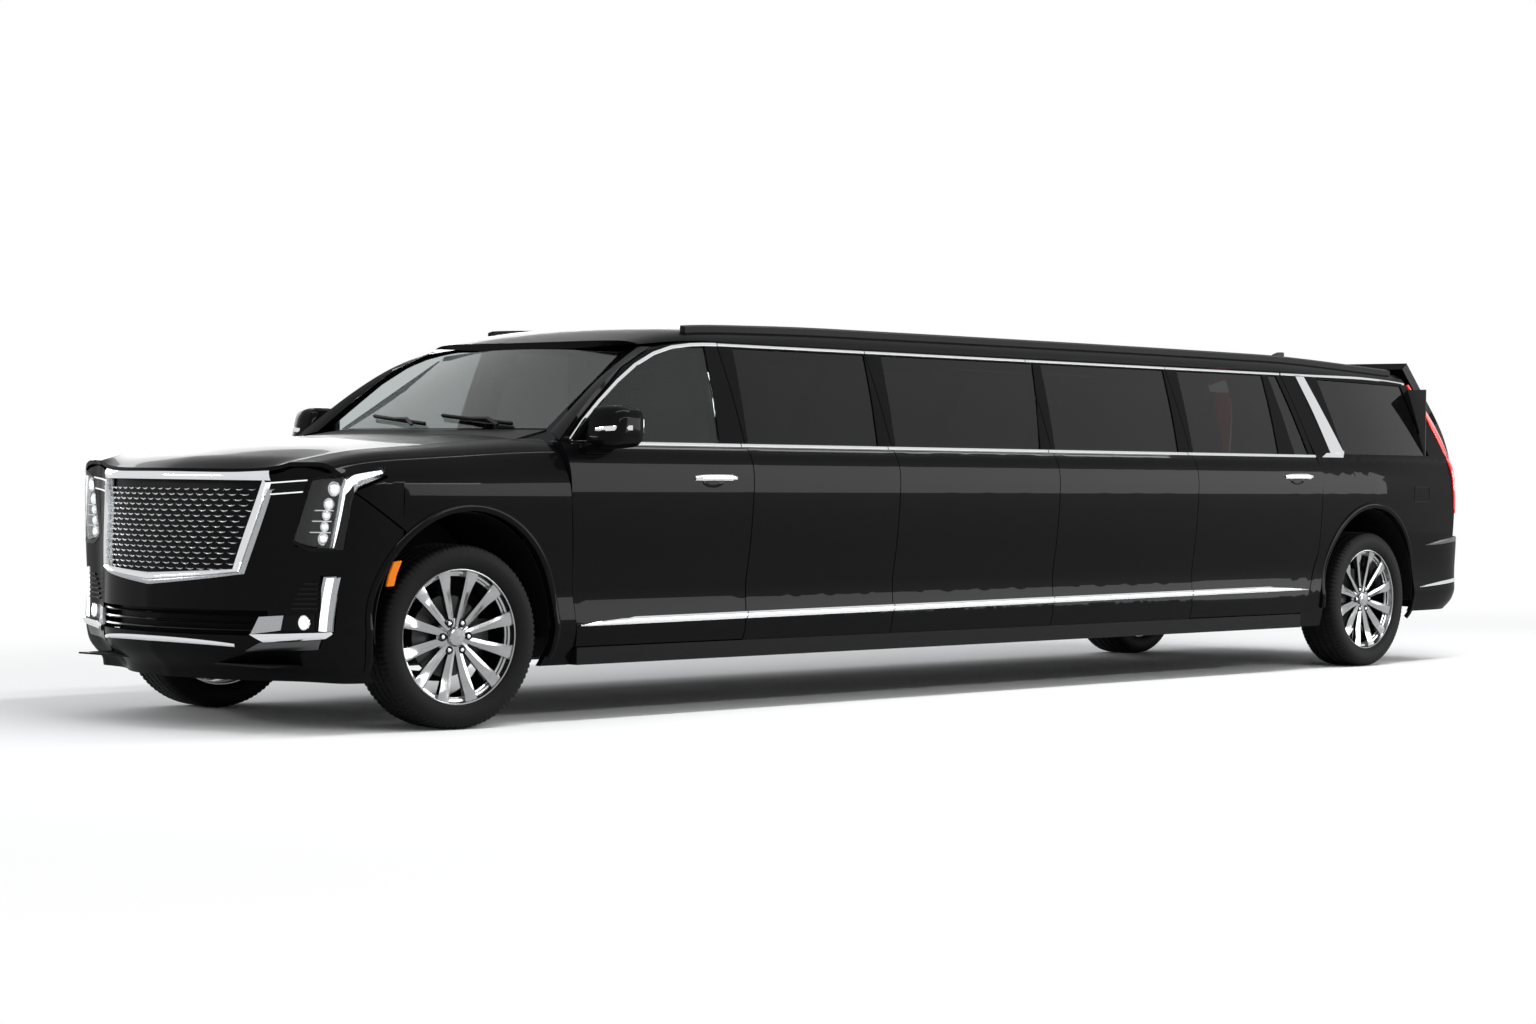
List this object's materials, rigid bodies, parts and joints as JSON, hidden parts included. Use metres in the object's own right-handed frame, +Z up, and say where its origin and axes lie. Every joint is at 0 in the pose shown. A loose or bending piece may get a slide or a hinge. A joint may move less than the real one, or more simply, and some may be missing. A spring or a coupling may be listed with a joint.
{
  "type": "stretch limousine",
  "caption": "Long-wheelbase black limousine with opening doors, hood and tailgate, steered front wheels and a passenger cabin with benches.",
  "frame": {"origin": "middle of the ground rectangle under the vehicle: half the length, the middle plane, the ground", "axes": "+X rearwards along the length, +Y to the vehicle's right, +Z up"},
  "size_m": [9.8313, 2.454, 1.985],
  "materials": {
    "black_trim": "gloss black",
    "body_paint": "gloss black",
    "cabin_trim": "dark grained",
    "cabin_wood": "dark veneer",
    "cast_metal": "as cast",
    "chassis_paint": "satin black",
    "chrome": "polished",
    "dark_glass": "dark tinted",
    "exhaust_steel": "brushed",
    "lamp_lens": "clear lens",
    "light_glass": "lightly tinted",
    "red_lens": "red lens",
    "seat_leather": "black leather",
    "tyre_rubber": "matt black",
    "wheel_metal": "polished silver"
  },
  "bodies": {
    "root": {"bar_cabinet": "cabin_wood", "centre_panels_left": "body_paint", "centre_panels_right": "body_paint", "chassis_frame": "chassis_paint", "dashboard": "cabin_trim", "engine_block": "cast_metal", "exhaust": "exhaust_steel", "fender_left": "body_paint", "fender_right": "body_paint", "floor_pan": "chassis_paint", "front_axle": "chassis_paint", "front_bumper": "body_paint", "front_seats": "seat_leather", "fuel_tank": "chassis_paint", "grille": "black_trim", "grille_surround": "chrome", "headlamps": "lamp_lens", "partition": "cabin_trim", "quarter_panel_left": "body_paint", "quarter_panel_right": "body_paint", "rear_axle": "cast_metal", "rear_bench": "seat_leather", "rear_bumper": "body_paint", "roof_panel": "body_paint", "roof_rails": "black_trim", "side_bench": "seat_leather", "side_windows": "dark_glass", "steering_wheel": "cabin_trim", "tail_lamps": "red_lens", "windshield": "light_glass", "windshield_pillars": "body_paint"},
    "front_door_left": {"front_door_glass_left": "light_glass", "front_door_left": "body_paint", "front_handle_left": "chrome", "mirror_left": "body_paint"},
    "front_door_right": {"front_door_glass_right": "light_glass", "front_door_right": "body_paint", "front_handle_right": "chrome", "mirror_right": "body_paint"},
    "hood": {"hood": "body_paint"},
    "knuckle_left": {"knuckle_left": "cast_metal"},
    "knuckle_right": {"knuckle_right": "cast_metal"},
    "rear_door_left": {"rear_door_glass_left": "dark_glass", "rear_door_left": "body_paint", "rear_handle_left": "chrome"},
    "rear_door_right": {"rear_door_glass_right": "dark_glass", "rear_door_right": "body_paint", "rear_handle_right": "chrome"},
    "wheel_front_left": {"rim_front_left": "wheel_metal", "tyre_front_left": "tyre_rubber"},
    "wheel_front_right": {"rim_front_right": "wheel_metal", "tyre_front_right": "tyre_rubber"},
    "wheel_rear_left": {"rim_rear_left": "wheel_metal", "tyre_rear_left": "tyre_rubber"},
    "wheel_rear_right": {"rim_rear_right": "wheel_metal", "tyre_rear_right": "tyre_rubber"},
    "tailgate": {"tailgate": "body_paint", "tailgate_glass": "dark_glass"}
  },
  "joints": [
    {"name": "steer_left", "type": "hinge", "parent": "root", "child": "knuckle_left", "pos_m": [-3.9115, -0.8165, 0.417], "axis": [0, 0, 1], "range_deg": [-25, 41]},
    {"name": "spin_front_left", "type": "hinge", "parent": "knuckle_left", "child": "wheel_front_left", "pos_m": [-3.9115, -0.8165, 0.417], "axis": [0.1392, 0.9903, 0], "continuous": true},
    {"name": "spin_rear_left", "type": "hinge", "parent": "root", "child": "wheel_rear_left", "pos_m": [3.6185, -0.8665, 0.417], "axis": [0, 1, 0], "continuous": true},
    {"name": "open_front_door_left", "type": "hinge", "parent": "root", "child": "front_door_left", "pos_m": [-3.2865, -1.03, 0.8], "axis": [0, 0, -1], "range_deg": [0, 68]},
    {"name": "open_rear_door_left", "type": "hinge", "parent": "root", "child": "rear_door_left", "pos_m": [1.6865, -1.03, 0.8], "axis": [0, 0, -1], "range_deg": [0, 70]},
    {"name": "steer_right", "type": "hinge", "parent": "root", "child": "knuckle_right", "pos_m": [-3.9115, 0.8165, 0.417], "axis": [0, 0, 1], "range_deg": [-25, 41]},
    {"name": "spin_front_right", "type": "hinge", "parent": "knuckle_right", "child": "wheel_front_right", "pos_m": [-3.9115, 0.8165, 0.417], "axis": [0.1392, 0.9903, 0], "continuous": true},
    {"name": "spin_rear_right", "type": "hinge", "parent": "root", "child": "wheel_rear_right", "pos_m": [3.6185, 0.8665, 0.417], "axis": [0, 1, 0], "continuous": true},
    {"name": "open_front_door_right", "type": "hinge", "parent": "root", "child": "front_door_right", "pos_m": [-3.2865, 1.03, 0.8], "axis": [0, 0, 1], "range_deg": [0, 68]},
    {"name": "open_rear_door_right", "type": "hinge", "parent": "root", "child": "rear_door_right", "pos_m": [1.6865, 1.03, 0.8], "axis": [0, 0, 1], "range_deg": [0, 70]},
    {"name": "open_hood", "type": "hinge", "parent": "root", "child": "hood", "pos_m": [-3.3875, 0, 1.339], "axis": [0, 1, 0], "range_deg": [0, 50]},
    {"name": "open_tailgate", "type": "hinge", "parent": "root", "child": "tailgate", "pos_m": [4.3915, 0, 1.878], "axis": [0, -1, 0], "range_deg": [0, 82]}
  ],
  "couplings": [
    {"joint": "steer_right", "follows": "steer_left", "ratio": 1}
  ]
}
